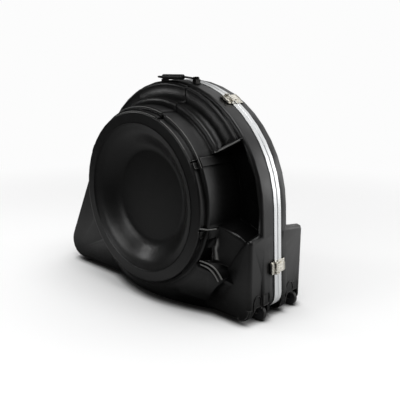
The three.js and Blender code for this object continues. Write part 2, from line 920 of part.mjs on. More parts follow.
// A draw latch: its lever turns on the base and carries the hook, which lies over the keeper's lug
function latchPieces() {
  const half = latchWidth / 2;
  const inner = half - latchCheek;
  const side = inner - gap;
  const plateTop = gap + latchPlate;
  const spacer = gap - valanceProud;
  const leverBottom = plateTop + gap;
  const leverEye = latchPinHeight - leverBottom;
  const armTop = latchPinHeight + hookPivotRise + hookBarrelRadius;
  const hookY = -latchPinDepth - hookPivotBack;
  const hookZ = latchPinHeight + hookPivotRise;
  const hookBottom = latchPinHeight + latchPinRadius + hookClearance;
  const pinBore = latchPinRadius + gap;
  const pinHole = bar(pinBore, -half - overrun, half + overrun, -latchPinDepth, latchPinHeight);
  const hookHole = bar(pinBore, -half, half, hookY, hookZ);

  const base = joined(
    block([-half, -latchBaseDepth, gap], [half, -seamGap, plateTop]),
    block([-half, -latchBaseDepth, spacer], [half, -valanceDepth - gap, plateTop]),
    ...[-half, inner].map((x) =>
      block(
        [x, -latchPinDepth - latchCheekHeight, gap],
        [x + latchCheek, -latchPinDepth + latchCheekHeight, latchCheekHeight],
      ),
    ),
  ).subtract(pinHole);

  const arms = [-side, side - leverThickness].map((x) =>
    joined(
      bar(leverEye, x, x + leverThickness, -latchPinDepth, latchPinHeight),
      block([x, hookY - hookBarrelRadius, leverBottom], [x + leverThickness, -latchPinDepth, armTop]),
    ),
  );
  const plateEnd = hookY - hookBarrelRadius - gap;
  const tip = -latchBaseDepth - leverTip;
  const lever = joined(
    ...arms,
    block([-side, tip, leverBottom], [side, plateEnd, leverBottom + leverThickness]),
    block([-side, plateEnd - leverThickness, leverBottom], [-side + leverThickness, hookY, armTop]),
    block([side - leverThickness, plateEnd - leverThickness, leverBottom], [side, hookY, armTop]),
    block([-side, tip, leverBottom], [side, tip + leverThickness, latchPinHeight + leverThickness]),
  )
    .subtract(pinHole)
    .subtract(hookHole);

  const trunnion = side - leverThickness;
  const hook = joined(
    bar(latchPinRadius, -side + gap, side - gap, hookY, hookZ),
    bar(hookBarrelRadius, -trunnion + gap, trunnion - gap, hookY, hookZ),
    block([-hookWidth / 2, hookY, hookBottom], [hookWidth / 2, hookReach, hookBottom + hookThickness]),
    bar(hookThickness, -hookWidth / 2, hookWidth / 2, hookReach, hookBottom + hookThickness),
  );

  const pin = joined(
    bar(latchPinRadius, -half - gap, half + gap, -latchPinDepth, latchPinHeight),
    bar(hookBarrelRadius, -half - gap - leverThickness, -half - gap, -latchPinDepth, latchPinHeight),
    bar(hookBarrelRadius, half + gap, half + gap + leverThickness, -latchPinDepth, latchPinHeight),
  );

  const keeper = joined(
    block([-half, seamGap, gap], [half, latchKeeperDepth, plateTop]),
    block([-half, valanceDepth + gap, spacer], [half, latchKeeperDepth, plateTop]),
    block(
      [-keeperLugWidth / 2, keeperLugStart, gap],
      [keeperLugWidth / 2, keeperLugStart + keeperLugDepth, hookBottom - hookClearance],
    ),
  );
  return { base, lever, hook, pin, keeper };
}

// A group whose Z points out of the case at a place on the outline
function outlineFrame(x, z, normal) {
  const group = new THREE.Group();
  group.position.set(x, 0, z);
  group.rotation.y = Math.PI / 2 - normal;
  return group;
}

function crownPlace(degrees) {
  const angle = THREE.MathUtils.degToRad(degrees);
  return [crown.radius * Math.cos(angle), crown.z + crown.radius * Math.sin(angle), angle];
}

const latchPlaces = {
  upper_right: crownPlace(upperLatchAngle),
  lower_right: sidePlace(heel, crown, heelLatchShare),
  upper_left: crownPlace(halfTurn - upperLatchAngle),
  lower_left: sidePlace(crown, toe, toeLatchShare),
};

for (const [place, station] of Object.entries(latchPlaces)) {
  const { base, lever, hook, pin, keeper } = latchPieces();
  const name = "latch_" + place;
  const front = outlineFrame(...station);
  front.add(piece(name + "_base", base, nickel));
  front.add(piece(name + "_lever", lever, nickel));
  front.add(piece(name + "_hook", hook, nickel));
  front.add(piece(name + "_pin", pin, steel));
  frontHalf.add(front);
  const back = outlineFrame(...station);
  back.add(piece(name + "_keeper", keeper, nickel));
  backHalf.add(back);
}

// Carrying handle: a bail that turns on two pins, folded forwards
const handleY = frontY(handleDepth);
const gripY = handleY - handleReach;
const gripZ = handleHeight + handleLift;
const crownClear = loft([
  { depth: 0, ring: hullRing(outline, valanceProud - gap) },
  { depth: bandDepth, ring: hullRing(outline, valanceProud - gap) },
]);

// A round bar between two points
function strut(radius, from, to) {
  const start = new THREE.Vector3(...from);
  const span = new THREE.Vector3(...to).sub(start);
  const geometry = new THREE.CylinderGeometry(radius, radius, span.length(), barSteps);
  geometry.applyQuaternion(
    new THREE.Quaternion().setFromUnitVectors(new THREE.Vector3(0, 1, 0), span.clone().normalize()),
  );
  const middle = start.addScaledVector(span, 1 / 2);
  return solidOf(geometry.translate(middle.x, middle.y, middle.z));
}

const bailParts = [];
for (const side of [-1, 1]) {
  const bracketX = handleMiddle + side * handleHalfSpan;
  const eyeX = bracketX - side * (bracketLength / 2 + gap + bailEyeLength / 2);
  const bore = bar(handlePinRadius + gap, bracketX - far, bracketX + far, handleY, handleHeight);
  const x0 = bracketX - bracketLength / 2;
  const x1 = bracketX + bracketLength / 2;
  const bracket = joined(
    block(
      [x0, handleY - bracketWidth / 2, handleHeight - bracketSink],
      [x1, handleY + bracketWidth / 2, handleHeight - handlePinRadius],
    ),
    bar(bracketBoss, x0, x1, handleY, handleHeight),
  );
  const name = side < 0 ? "left" : "right";
  frontHalf.add(piece("handle_bracket_" + name, bracket.subtract(bore).subtract(crownClear), nickel));
  const outer = bracketX + side * (bracketLength / 2 + gap);
  const innerEnd = eyeX - side * (bailEyeLength / 2);
  const headEnd = outer + side * handlePinHeadLength;
  const pin = joined(
    bar(handlePinRadius, Math.min(outer, innerEnd), Math.max(outer, innerEnd), handleY, handleHeight),
    bar(handlePinHead, Math.min(outer, headEnd), Math.max(outer, headEnd), handleY, handleHeight),
  );
  frontHalf.add(piece("handle_pin_" + name, pin, steel));
  const eye = bar(bailEye, eyeX - bailEyeLength / 2, eyeX + bailEyeLength / 2, handleY, handleHeight);
  const corner = new THREE.SphereGeometry(bailRadius, barSteps, barSteps / 2);
  bailParts.push(
    strut(bailRadius, [eyeX, handleY, handleHeight], [eyeX, gripY, gripZ]).add(eye).subtract(bore),
    strut(bailRadius, [eyeX, gripY, gripZ], [handleMiddle, gripY, gripZ]),
    solidOf(corner.translate(eyeX, gripY, gripZ)),
  );
}
frontHalf.add(piece("handle_bail", joined(...bailParts), steel));

const gripProfile = [
  [bailRadius + gap, -gripHalfLength],
  [gripRadius - gripRounding, -gripHalfLength],
  [gripRadius, gripRounding - gripHalfLength],
  [gripRadius, gripHalfLength - gripRounding],
  [gripRadius - gripRounding, gripHalfLength],
  [bailRadius + gap, gripHalfLength],
  [bailRadius + gap, -gripHalfLength],
].map(([radius, along]) => new THREE.Vector2(radius, along));
const gripGeometry = new THREE.LatheGeometry(gripProfile, rodSteps);
const grip = solidOf(gripGeometry.rotateZ(Math.PI / 2).translate(gripMiddle, gripY, gripZ));
frontHalf.add(piece("handle_grip", grip, rubber));

// Pads inside: a ring for the bell's rim, a disc for its throat and a cradle in each half
function ringPad(outer, inner, end, depth) {
  const profile = [
    [inner, end - depth],
    [outer, end - depth],
    [outer, end],
    [inner, end],
  ];
  return turned(inner ? [...profile, profile[0]] : profile, 0, drumHeight);
}

function cradle() {
  const bottom = footHeight + wall + padGap;
  const start = skirtStart + wall + padGap;
  const solid = block(
    [cradleMiddle - cradleLength / 2, frontY(start + cradleDepth), bottom],
    [cradleMiddle + cradleLength / 2, frontY(start), bottom + cradleHeight],
  );
  const hollow = turned(
    [
      [0, start - overrun],
      [cradleHollow, start - overrun],
      [cradleHollow, start + cradleDepth + overrun],
      [0, start + cradleDepth + overrun],
    ],
    cradleMiddle,
    bottom + cradleHollowHeight,
  );
  return solid.subtract(hollow);
}

const bellPadOuter = drumRadius - wall - padGap;
const bellPad = ringPad(bellPadOuter, bellPadOuter - bellPadWidth, drumDepth - wall - padGap, bellPadDepth);
frontHalf.add(piece("bell_ring_pad", bellPad, foam));
const throatPad = ringPad(throatPadRadius, 0, dishDepth - wall - padGap, throatPadDepth);
frontHalf.add(piece("bell_throat_pad", throatPad, foam));
frontHalf.add(piece("front_cradle_pad", cradle(), foam));
backHalf.add(piece("back_cradle_pad", mirrored(cradle()), foam));

const part = new THREE.Group();
part.add(frontHalf, backHalf);
part.updateMatrixWorld(true);
const box = new THREE.Box3().setFromObject(part);
part.position.set(-(box.min.x + box.max.x) / 2, -(box.min.y + box.max.y) / 2, -box.min.z);

export default part;
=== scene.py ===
import json
import math

import bpy
from mathutils import Matrix, Vector


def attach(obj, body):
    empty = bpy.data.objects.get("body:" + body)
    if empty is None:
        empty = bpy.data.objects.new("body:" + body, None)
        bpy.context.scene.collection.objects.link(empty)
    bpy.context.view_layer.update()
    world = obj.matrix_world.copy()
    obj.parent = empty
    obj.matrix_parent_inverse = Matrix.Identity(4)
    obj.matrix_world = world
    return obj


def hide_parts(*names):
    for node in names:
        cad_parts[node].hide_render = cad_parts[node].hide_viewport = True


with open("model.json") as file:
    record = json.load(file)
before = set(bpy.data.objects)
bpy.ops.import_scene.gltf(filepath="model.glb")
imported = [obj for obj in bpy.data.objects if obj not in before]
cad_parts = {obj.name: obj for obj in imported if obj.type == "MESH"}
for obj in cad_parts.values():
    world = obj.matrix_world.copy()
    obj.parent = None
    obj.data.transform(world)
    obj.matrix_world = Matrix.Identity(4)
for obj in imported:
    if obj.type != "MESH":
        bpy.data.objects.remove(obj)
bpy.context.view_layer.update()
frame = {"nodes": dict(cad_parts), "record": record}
bodyNodes = frame["record"]["behaviour"]["bodies"]
bodyOf = {node: body for body, nodes in bodyNodes.items() for node in nodes}
slotOf = {part["node"]: part["material_slot"] for part in frame["record"]["subparts"]}
mm = 0.001
print("packed model is loaded")


def toLinear(hexColour):
    # sRGB hex to linear, with full alpha
    values = [int(hexColour[start : start + 2], 16) / 255 for start in (1, 3, 5)]
    linear = [v / 12.92 if v <= 0.04045 else ((v + 0.055) / 1.055) ** 2.4 for v in values]
    return (*linear, 1.0)


# Camera and lamps

cameraSet = {
    "azimuth": 44.14,  # degrees, from the drum's side towards the wheels
    "elevation": 13.55,
    "distance": 2.274,
    "target": (0.1877, 0.028, 0.4065),
    "lens": 48.8,
    "sensor": 36,
    "clip": 60,
}
lampSet = {
    # name: place, target and size in metres, power in watts
    "keyLamp": ((-2.9, -2.2, 2.5), (0, 0, 0.5), 0.6, 18),
    "sideLamp": ((2.9, 3.6, 1.2), (0, 0, 0.4), 2.2, 25),
    "frontLamp": ((-0.8, -3.6, 1.9), (0, 0, 0.4), 1.6, 28),
    "topLamp": ((1.6, -0.3, 4.2), (0, 0, 0.4), 2.4, 72),
}


def makeCamera(settings):
    azimuth = math.radians(settings["azimuth"])
    elevation = math.radians(settings["elevation"])
    across = math.cos(elevation)
    away = Vector((math.sin(azimuth) * across, -math.cos(azimuth) * across, math.sin(elevation)))
    bpy.ops.object.camera_add(location=Vector(settings["target"]) + away * settings["distance"])
    camera = bpy.context.object
    camera.rotation_euler = away.to_track_quat("Z", "Y").to_euler()
    camera.data.lens = settings["lens"]
    camera.data.sensor_width = settings["sensor"]
    camera.data.clip_end = settings["clip"]
    bpy.context.scene.camera = camera


def makeLamps(settings):
    for name, (place, target, size, power) in settings.items():
        bpy.ops.object.light_add(type="AREA", location=place)
        lamp = bpy.context.object
        lamp.name = name
        lamp.rotation_euler = (Vector(place) - Vector(target)).to_track_quat("Z", "Y").to_euler()
        lamp.data.size = size
        lamp.data.energy = power


makeCamera(cameraSet)
makeLamps(lampSet)
print("camera and lamps are set")


# Materials

def addNode(tree, kind, settings=None, links=None):
    node = tree.nodes.new(kind)
    for name, value in (settings or {}).items():
        if isinstance(name, int) or name in node.inputs:
            node.inputs[name].default_value = value
        else:
            setattr(node, name, value)
    for name, (source, output) in (links or {}).items():
        tree.links.new(source.outputs[output], node.inputs[name])
    return node


def newMaterial(name):
    material = bpy.data.materials.new(name)
    material.use_nodes = True
    material.node_tree.nodes.clear()
    return material, material.node_tree


noiseSpan = (0.3, 0.7)  # the part of its range that a noise really fills


def roughnessOver(tree, noise, roughness):
    return addNode(
        tree,
        "ShaderNodeMapRange",
        {
            "From Min": noiseSpan[0],
            "From Max": noiseSpan[1],
            "To Min": roughness[0],
            "To Max": roughness[1],
        },
        {"Value": (noise, "Fac")},
    )


def finishMaterial(tree, shader, output="BSDF"):
    addNode(tree, "ShaderNodeOutputMaterial", links={"Surface": (shader, output)})


absSet = {
    "low": "#060606",
    "high": "#0a0a0a",
    "scuff": "#141415",
    "roughness": (0.32, 0.37),
    "grain": 2.4 * mm,  # the real grit is near 0.5 mm; drawn coarser so that it shows
    "grit": (0.22, 0.25 * mm),  # strength and height of the grain
    "swell": 140 * mm,  # width of the slight waves in the flats
    "wave": (0.15, 3 * mm),  # their strength and height
    "cloud": 34 * mm,  # size of the slightly paler patches
    "scratch": 60 * mm,  # length of the scratches
    "slant": (0.4, 0.3, 0.9),  # their turn in radians
    "thinner": (1.0, 14.0, 9.0),  # and how much thinner than long they are
    "scratched": (0.66, 0.76, 0.22),  # noise from and to, and how much of the scuff it brings
    "soft": 1.4 * mm,  # rounding of the moulded edges
    "hollow": 170 * mm,  # how far round a spot its hollow is felt, for the painted shade in it
    "crease": 16 * mm,  # and a crease
    "closed": (0.68, 0.42),  # openness at which a hollow and a crease are fully in painted shade
    "open": (0.97, 0.9),  # and at which they keep their gloss
    "paintedShadeGloss": (0.05, 0.1),  # share of the gloss that the painted shade leaves in a hollow and a crease
    "gloss": 0.5,
    "edge": 3.2 * mm,  # how far from an edge it is painted paler, as wear and as painted highlight
    "turned": (0.99, 0.85, 1.4),  # how far an edge turns, from and to, and the paler paint, wear and painted highlight, it then gets
    "standing": (0.82, 0.97),  # openness from which an edge stands out enough to be painted paler
    # paler colour of the edges: handling wear and painted highlight
    "wornAndHighlit": "#8a8a88",
}
paintedHighlightSet = {
    # painted highlight: the crests of thin ribs and rods, drawn paler and glossier than the ABS
    **absSet,
    "low": "#4c4c4b",
    "high": "#70706e",
    "closed": (0.1, 0.1),
    "open": (0.7, 0.6),
    "gloss": 0.6,
}


def makeMouldedAbs(name, settings):
    # vacuum-formed ABS sheet: black and satin, with a leathery grain that breaks up the gloss and
    # slightly wavy flats; painted shade takes the gloss away in deep hollows and creases, and the
    # edges are painted paler, partly as handling wear and partly as a painted highlight
    material, tree = newMaterial(name)
    place = addNode(tree, "ShaderNodeTexCoord")
    grain = addNode(
        tree,
        "ShaderNodeTexVoronoi",
        {"feature": "F1", "Scale": 1 / settings["grain"], "Randomness": 1.0},
        {"Vector": (place, "Object")},
    )
    swell = addNode(
        tree,
        "ShaderNodeTexNoise",
        {"Scale": 1 / settings["swell"], "Detail": 1.0, "Roughness": 0.4},
        {"Vector": (place, "Object")},
    )
    cloudy = addNode(
        tree,
        "ShaderNodeTexNoise",
        {"Scale": 1 / settings["cloud"], "Detail": 5.0, "Roughness": 0.62},
        {"Vector": (place, "Object")},
    )
    stretched = addNode(
        tree,
        "ShaderNodeMapping",
        {"Rotation": settings["slant"], "Scale": settings["thinner"]},
        {"Vector": (place, "Object")},
    )
    scratches = addNode(
        tree,
        "ShaderNodeTexNoise",
        {"Scale": 1 / settings["scratch"], "Detail": 3.0, "Roughness": 0.7},
        {"Vector": (stretched, "Vector")},
    )
    start, end, share = settings["scratched"]
    scuffed = addNode(
        tree,
        "ShaderNodeMapRange",
        {"From Min": start, "From Max": end, "To Max": share},
        {"Value": (scratches, "Fac")},
    )
    tones = addNode(
        tree,
        "ShaderNodeMix",
        {"data_type": "RGBA", 6: toLinear(settings["low"]), 7: toLinear(settings["high"])},
        {0: (cloudy, "Fac")},
    )
    worn = addNode(
        tree,
        "ShaderNodeMix",
        {"data_type": "RGBA", 7: toLinear(settings["scuff"])},
        {0: (scuffed, "Result"), 6: (tones, 2)},
    )
    soft = addNode(tree, "ShaderNodeBevel", {"samples": 4, "Radius": settings["soft"]})
    # painted shade: the gloss is cut back in creases by how closed in they are
    crease = addNode(
        tree,
        "ShaderNodeAmbientOcclusion",
        {"samples": 6, "Distance": settings["crease"]},
        {"Normal": (soft, "Normal")},
    )
    creaseShadedGloss = addNode(
        tree,
        "ShaderNodeMapRange",
        {
            "From Min": settings["closed"][1],
            "From Max": settings["open"][1],
            "To Min": settings["paintedShadeGloss"][1],
        },
        {"Value": (crease, "AO")},
    )
    # edges painted paler: partly handling wear, partly a painted highlight along them
    around = addNode(tree, "ShaderNodeBevel", {"samples": 6, "Radius": settings["edge"]})
    surface = addNode(tree, "ShaderNodeNewGeometry")
    flatness = addNode(
        tree,
        "ShaderNodeVectorMath",
        {"operation": "DOT_PRODUCT"},
        {0: (around, "Normal"), 1: (surface, "Normal")},
    )
    start, end, share = settings["turned"]
    wornAndHighlit = addNode(
        tree,
        "ShaderNodeMapRange",
        {"From Min": start, "From Max": end, "To Max": share},
        {"Value": (flatness, "Value")},
    )
    patchy = addNode(
        tree,
        "ShaderNodeMath",
        {"operation": "MULTIPLY"},
        {0: (wornAndHighlit, "Result"), 1: (cloudy, "Fac")},
    )
    standing = addNode(
        tree,
        "ShaderNodeMapRange",
        {"From Min": settings["standing"][0], "From Max": settings["standing"][1]},
        {"Value": (crease, "AO")},
    )
    reached = addNode(
        tree,
        "ShaderNodeMath",
        {"operation": "MULTIPLY"},
        {0: (patchy, "Value"), 1: (standing, "Result")},
    )
    edged = addNode(
        tree,
        "ShaderNodeMix",
        {"data_type": "RGBA", 7: toLinear(settings["wornAndHighlit"])},
        {0: (reached, "Value"), 6: (worn, 2)},
    )
    shine = roughnessOver(tree, cloudy, settings["roughness"])
    wave = addNode(
        tree,
        "ShaderNodeBump",
        {"Strength": settings["wave"][0], "Distance": settings["wave"][1]},
        {"Height": (swell, "Fac"), "Normal": (soft, "Normal")},
    )
    grit = addNode(
        tree,
        "ShaderNodeBump",
        {"Strength": settings["grit"][0], "Distance": settings["grit"][1]},
        {"Height": (grain, "Distance"), "Normal": (wave, "Normal")},
    )
    # painted shade: the gloss is cut back in deep hollows by how closed in they are
    hollow = addNode(
        tree,
        "ShaderNodeAmbientOcclusion",
        {"samples": 6, "Distance": settings["hollow"]},
        {"Normal": (soft, "Normal")},
    )
    hollowShadedGloss = addNode(
        tree,
        "ShaderNodeMapRange",
        {
            "From Min": settings["closed"][0],
            "From Max": settings["open"][0],
            "To Min": settings["paintedShadeGloss"][0],
        },
        {"Value": (hollow, "AO")},
    )
    bothGloss = addNode(
        tree,
        "ShaderNodeMath",
        {"operation": "MULTIPLY"},
        {0: (hollowShadedGloss, "Result"), 1: (creaseShadedGloss, "Result")},
    )
    gloss = addNode(
        tree,
        "ShaderNodeMath",
        {"operation": "MULTIPLY", 1: settings["gloss"]},
        {0: (bothGloss, "Value")},
    )
    shader = addNode(
        tree,
        "ShaderNodeBsdfPrincipled",
        {"IOR": 1.5},
        {
            "Base Color": (edged, 2),
            "Roughness": (shine, "Result"),
            "Specular IOR Level": (gloss, "Value"),
            "Normal": (grit, "Normal"),
        },
    )
    finishMaterial(tree, shader)
    return material


metalSkin = {"marks": 18 * mm, "soft": 0.5 * mm, "relief": 0.2 * mm}
metalSet = {
    # name: low colour, high colour, roughness low and high, streak size in mm along x, y, z,
    # depth of the streaks, share that mirrors (the rest is a chalky bloom)
    "rolledAluminium": ("#d2d4d5", "#eceded", (0.3, 0.44), (60, 1.2, 60), 0.12, 0.85),
    "nickelPlate": ("#c9c5ba", "#e2dfd6", (0.14, 0.3), (6, 6, 6), 0.05, 0.9),
    "blackenedSteel": ("#1c1c1c", "#2e2d2c", (0.3, 0.45), (8, 8, 8), 0.08, 1.0),
    "drawnSteel": ("#6f706f", "#989996", (0.26, 0.4), (30, 1.5, 1.5), 0.1, 1.0),
}


def makeMetal(name, settings, skin):
    # bright or blackened metal: rolling or drawing marks stretch its highlights lengthwise, and
    # faint handling marks dull them
    low, high, roughness, streak, depth, mirrors = settings
    material, tree = newMaterial(name)
    place = addNode(tree, "ShaderNodeTexCoord")
    drawn = addNode(
        tree,
        "ShaderNodeMapping",
        {"Scale": tuple(1 / (size * mm) for size in streak)},
        {"Vector": (place, "Object")},
    )
    marks = addNode(
        tree,
        "ShaderNodeTexNoise",
        {"Scale": 1.0, "Detail": 4.0, "Roughness": 0.6},
        {"Vector": (drawn, "Vector")},
    )
    handled = addNode(
        tree,
        "ShaderNodeTexNoise",
        {"Scale": 1 / skin["marks"], "Detail": 4.0},
        {"Vector": (place, "Object")},
    )
    tones = addNode(
        tree,
        "ShaderNodeMix",
        {"data_type": "RGBA", 6: toLinear(low), 7: toLinear(high)},
        {0: (marks, "Fac")},
    )
    shine = roughnessOver(tree, handled, roughness)
    soft = addNode(tree, "ShaderNodeBevel", {"samples": 4, "Radius": skin["soft"]})
    bump = addNode(
        tree,
        "ShaderNodeBump",
        {"Strength": depth, "Distance": skin["relief"]},
        {"Height": (marks, "Fac"), "Normal": (soft, "Normal")},
    )
    shader = addNode(
        tree,
        "ShaderNodeBsdfPrincipled",
        {"Metallic": mirrors},
        {"Base Color": (tones, 2), "Roughness": (shine, "Result"), "Normal": (bump, "Normal")},
    )
    finishMaterial(tree, shader)
    return material


dullSkin = {
    "dust": 9 * mm,
    "soft": 0.8 * mm,
    "pits": (0.25, 0.2 * mm),  # strength and height of the moulded grain
    "gloss": 0.35,
}
dullSet = {
    # name: low colour, high colour, roughness low and high, grain in mm
    "mouldedRubber": ("#070707", "#101010", (0.4, 0.55), 1.6),
    "mouldedNylon": ("#161617", "#232325", (0.3, 0.42), 1.2),
}


def makeDull(name, settings, skin):
    # moulded black rubber or nylon: near matt, greyer where it is dusty, with a fine moulded grain
    low, high, roughness, grain = settings
    material, tree = newMaterial(name)
    place = addNode(tree, "ShaderNodeTexCoord")
    dust = addNode(
        tree,
        "ShaderNodeTexNoise",
        {"Scale": 1 / skin["dust"], "Detail": 5.0, "Roughness": 0.65},
        {"Vector": (place, "Object")},
    )
    pits = addNode(
        tree,
        "ShaderNodeTexNoise",
        {"Scale": 1 / (grain * mm), "Detail": 2.0},
        {"Vector": (place, "Object")},
    )
    tones = addNode(
        tree,
        "ShaderNodeMix",
        {"data_type": "RGBA", 6: toLinear(low), 7: toLinear(high)},
        {0: (dust, "Fac")},
    )
    shine = roughnessOver(tree, dust, roughness)
    soft = addNode(tree, "ShaderNodeBevel", {"samples": 4, "Radius": skin["soft"]})
    bump = addNode(
        tree,
        "ShaderNodeBump",
        {"Strength": skin["pits"][0], "Distance": skin["pits"][1]},
        {"Height": (pits, "Fac"), "Normal": (soft, "Normal")},
    )
    shader = addNode(
        tree,
        "ShaderNodeBsdfPrincipled",
        {"Specular IOR Level": skin["gloss"]},
        {"Base Color": (tones, 2), "Roughness": (shine, "Result"), "Normal": (bump, "Normal")},
    )
    finishMaterial(tree, shader)
    return material


plushSet = {
    "low": "#0e0e12",
    "high": "#23232a",
    "tuft": 1.8 * mm,
    "nap": 26 * mm,
    "spread": (0.1, 0.4),  # the part of its range that tuft times nap fills
    "relief": (0.6, 1 * mm),  # strength and height of the tufts
    "sheen": 0.5,
}


def makePlush(settings):
    # short plush over foam: dark, soft, paler where the nap turns to the light
    material, tree = newMaterial("shortPlush")
    place = addNode(tree, "ShaderNodeTexCoord")
    tufts = addNode(
        tree,
        "ShaderNodeTexNoise",
        {"Scale": 1 / settings["tuft"], "Detail": 4.0, "Roughness": 0.7},
        {"Vector": (place, "Object")},
    )
    nap = addNode(
        tree,
        "ShaderNodeTexNoise",
        {"Scale": 1 / settings["nap"], "Detail": 3.0},
        {"Vector": (place, "Object")},
    )
    mixed = addNode(
        tree,
        "ShaderNodeMath",
        {"operation": "MULTIPLY"},
        {0: (tufts, "Fac"), 1: (nap, "Fac")},
    )
    spread = addNode(
        tree,
        "ShaderNodeMapRange",
        {"From Min": settings["spread"][0], "From Max": settings["spread"][1]},
        {"Value": (mixed, "Value")},
    )
    tones = addNode(
        tree,
        "ShaderNodeMix",
        {"data_type": "RGBA", 6: toLinear(settings["low"]), 7: toLinear(settings["high"])},
        {0: (spread, "Result")},
    )
    bump = addNode(
        tree,
        "ShaderNodeBump",
        {"Strength": settings["relief"][0], "Distance": settings["relief"][1]},
        {"Height": (tufts, "Fac")},
    )
    shader = addNode(
        tree,
        "ShaderNodeBsdfPrincipled",
        {
            "Roughness": 0.95,
            "Sheen Weight": settings["sheen"],
            "Sheen Roughness": 0.4,
            "IOR": 1.4,
        },
        {"Base Color": (tones, 2), "Normal": (bump, "Normal")},
    )
    finishMaterial(tree, shader)
    return material


mouldedAbs = makeMouldedAbs("mouldedAbs", absSet)
# painted highlight: a paler, glossier copy of the ABS for the crests of thin ribs and rods
paintedHighlightAbs = makeMouldedAbs("paintedHighlightAbs", paintedHighlightSet)
rolledAluminium = makeMetal("rolledAluminium", metalSet["rolledAluminium"], metalSkin)
nickelPlate = makeMetal("nickelPlate", metalSet["nickelPlate"], metalSkin)
drawnSteel = makeMetal("drawnSteel", metalSet["drawnSteel"], metalSkin)
blackenedSteel = makeMetal("blackenedSteel", metalSet["blackenedSteel"], metalSkin)
mouldedRubber = makeDull("mouldedRubber", dullSet["mouldedRubber"], dullSkin)
mouldedNylon = makeDull("mouldedNylon", dullSet["mouldedNylon"], dullSkin)
shortPlush = makePlush(plushSet)
slotMaterial = {
    "shell": mouldedAbs,
    "valance": rolledAluminium,
    "latch": nickelPlate,
    "steel": drawnSteel,
    "rubber": mouldedRubber,
    "hub": mouldedNylon,
    "foam": shortPlush,
}
print("materials are made")


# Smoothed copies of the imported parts

def deselectAll():
    bpy.ops.object.select_all(action="DESELECT")


def dress(piece, body, slot, nodes=(), material=None):
    piece.data.materials.clear()
    piece.data.materials.append(material or slotMaterial[slot])
    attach(piece, body)
    if nodes:
        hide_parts(*nodes)


smoothSet = {
    # slot: width of the softened edges in mm, angle in degrees from which an edge is softened
    "shell": (0, 34),
    "valance": (0.5, 40),
    "latch": (0.5, 35),
    "steel": (0.35, 40),
    "rubber": (0.8, 40),
    "hub": (0.8, 40),
}
meshSet = {
    "merge": 0.002 * mm,
    "flat": 0.5,  # degrees; faces that turn less than this become one
    "weight": 50,
}


def copyOf(node, name):
    source = frame["nodes"][node]
    piece = source.copy()
    piece.data = source.data.copy()
    piece.parent = None
    piece.name = name
    for key in list(piece.keys()):
        del piece[key]
    bpy.context.scene.collection.objects.link(piece)
    deselectAll()
    piece.select_set(True)
    bpy.context.view_layer.objects.active = piece
    bpy.ops.object.mode_set(mode="EDIT")
    bpy.ops.mesh.select_all(action="SELECT")
    bpy.ops.mesh.remove_doubles(threshold=meshSet["merge"])
    bpy.ops.object.mode_set(mode="OBJECT")
    return piece


def evenShade(piece, angle):
    # smooth shading that leans on the large faces, so that slivers beside them don't ripple
    bpy.ops.object.shade_smooth_by_angle(angle=math.radians(angle))
    even = piece.modifiers.new("even", "WEIGHTED_NORMAL")
    even.mode = "FACE_AREA_WITH_ANGLE"
    even.weight = meshSet["weight"]
    even.keep_sharp = True
    bpy.ops.object.modifier_apply(modifier="even")


def smoothCopy(node, settings):
    width, angle = settings[slotOf[node]]
    piece = copyOf(node, node + "_finished")
    if width:
        bpy.ops.object.mode_set(mode="EDIT")
        bpy.ops.mesh.select_all(action="SELECT")
        bpy.ops.mesh.dissolve_limited(angle_limit=math.radians(meshSet["flat"]))
        bpy.ops.object.mode_set(mode="OBJECT")
        bevel = piece.modifiers.new("edges", "BEVEL")
        bevel.width = width * mm
        bevel.segments = 2
        bevel.limit_method = "ANGLE"
        bevel.angle_limit = math.radians(angle)
        bevel.use_clamp_overlap = True
        bpy.ops.object.modifier_apply(modifier="edges")
    evenShade(piece, angle)
    blackened = node.startswith("handle") and slotOf[node] != "rubber"
    dress(piece, bodyOf[node], slotOf[node], [node], blackenedSteel if blackened else None)


for node in frame["nodes"]:
    if slotOf[node] != "foam":
        smoothCopy(node, smoothSet)
print("packed parts are smoothed and dressed")


# Padded pieces inside: foam under short plush, swollen between its sewn channels

padSet = {
    # node: how the sewn channels run, how many, how firmly the pad is filled
    "bell_ring_pad": ("spokes", 18, 0.7),
    "bell_throat_pad": ("spokes", 6, 0.6),
    "front_cradle_pad": ("across", 4, 0.7),
    "back_cradle_pad": ("across", 4, 0.7),
}
padSkin = {
    "voxel": 6 * mm,
    "smaller": 6 * mm,
    "cap": 5.6 * mm,
    "sewn": 5 * mm,
    "channel": 7 * mm,
    "smooth": (0.5, 5),  # share and times
    "pressure": 4,
    "quality": 5,
    "frames": 20,
}


def swell(piece, skin):
    start = [vertex.co.copy() for vertex in piece.data.vertices]
    cloth = piece.modifiers.new("swelling", "CLOTH")
    cloth.settings.quality = skin["quality"]
    cloth.settings.use_pressure = True
    cloth.settings.uniform_pressure_force = skin["pressure"]
    cloth.settings.effector_weights.gravity = 0
    cloth.point_cache.frame_end = skin["frames"]
    for step in range(1, skin["frames"] + 1):
        bpy.context.scene.frame_set(step)
    bpy.context.view_layer.objects.active = piece
    bpy.ops.object.modifier_apply(modifier="swelling")
    bpy.context.scene.frame_set(1)
    for vertex, before in zip(piece.data.vertices, start):
        moved = vertex.co - before
        if moved.length > skin["cap"]:
            vertex.co = before + moved * (skin["cap"] / moved.length)


def sew(piece, kind, count, skin):
    low, high = [Vector(corner) for corner in (piece.bound_box[0], piece.bound_box[6])]
    middle = (low + high) / 2
    pulls = []
    for vertex in piece.data.vertices:
        place = vertex.co - middle
        if kind == "spokes":
            turn = math.atan2(place.z, place.x) / math.tau * count
            away = abs(turn - round(turn)) / count * math.tau * math.hypot(place.x, place.z)
        else:
            along = (vertex.co.x - low.x) / (high.x - low.x) * count
            away = abs(along - round(along)) / count * (high.x - low.x)
        pulls.append(vertex.normal * skin["sewn"] * math.exp(-((away / skin["channel"]) ** 2)))
    for vertex, pull in zip(piece.data.vertices, pulls):
        vertex.co -= pull


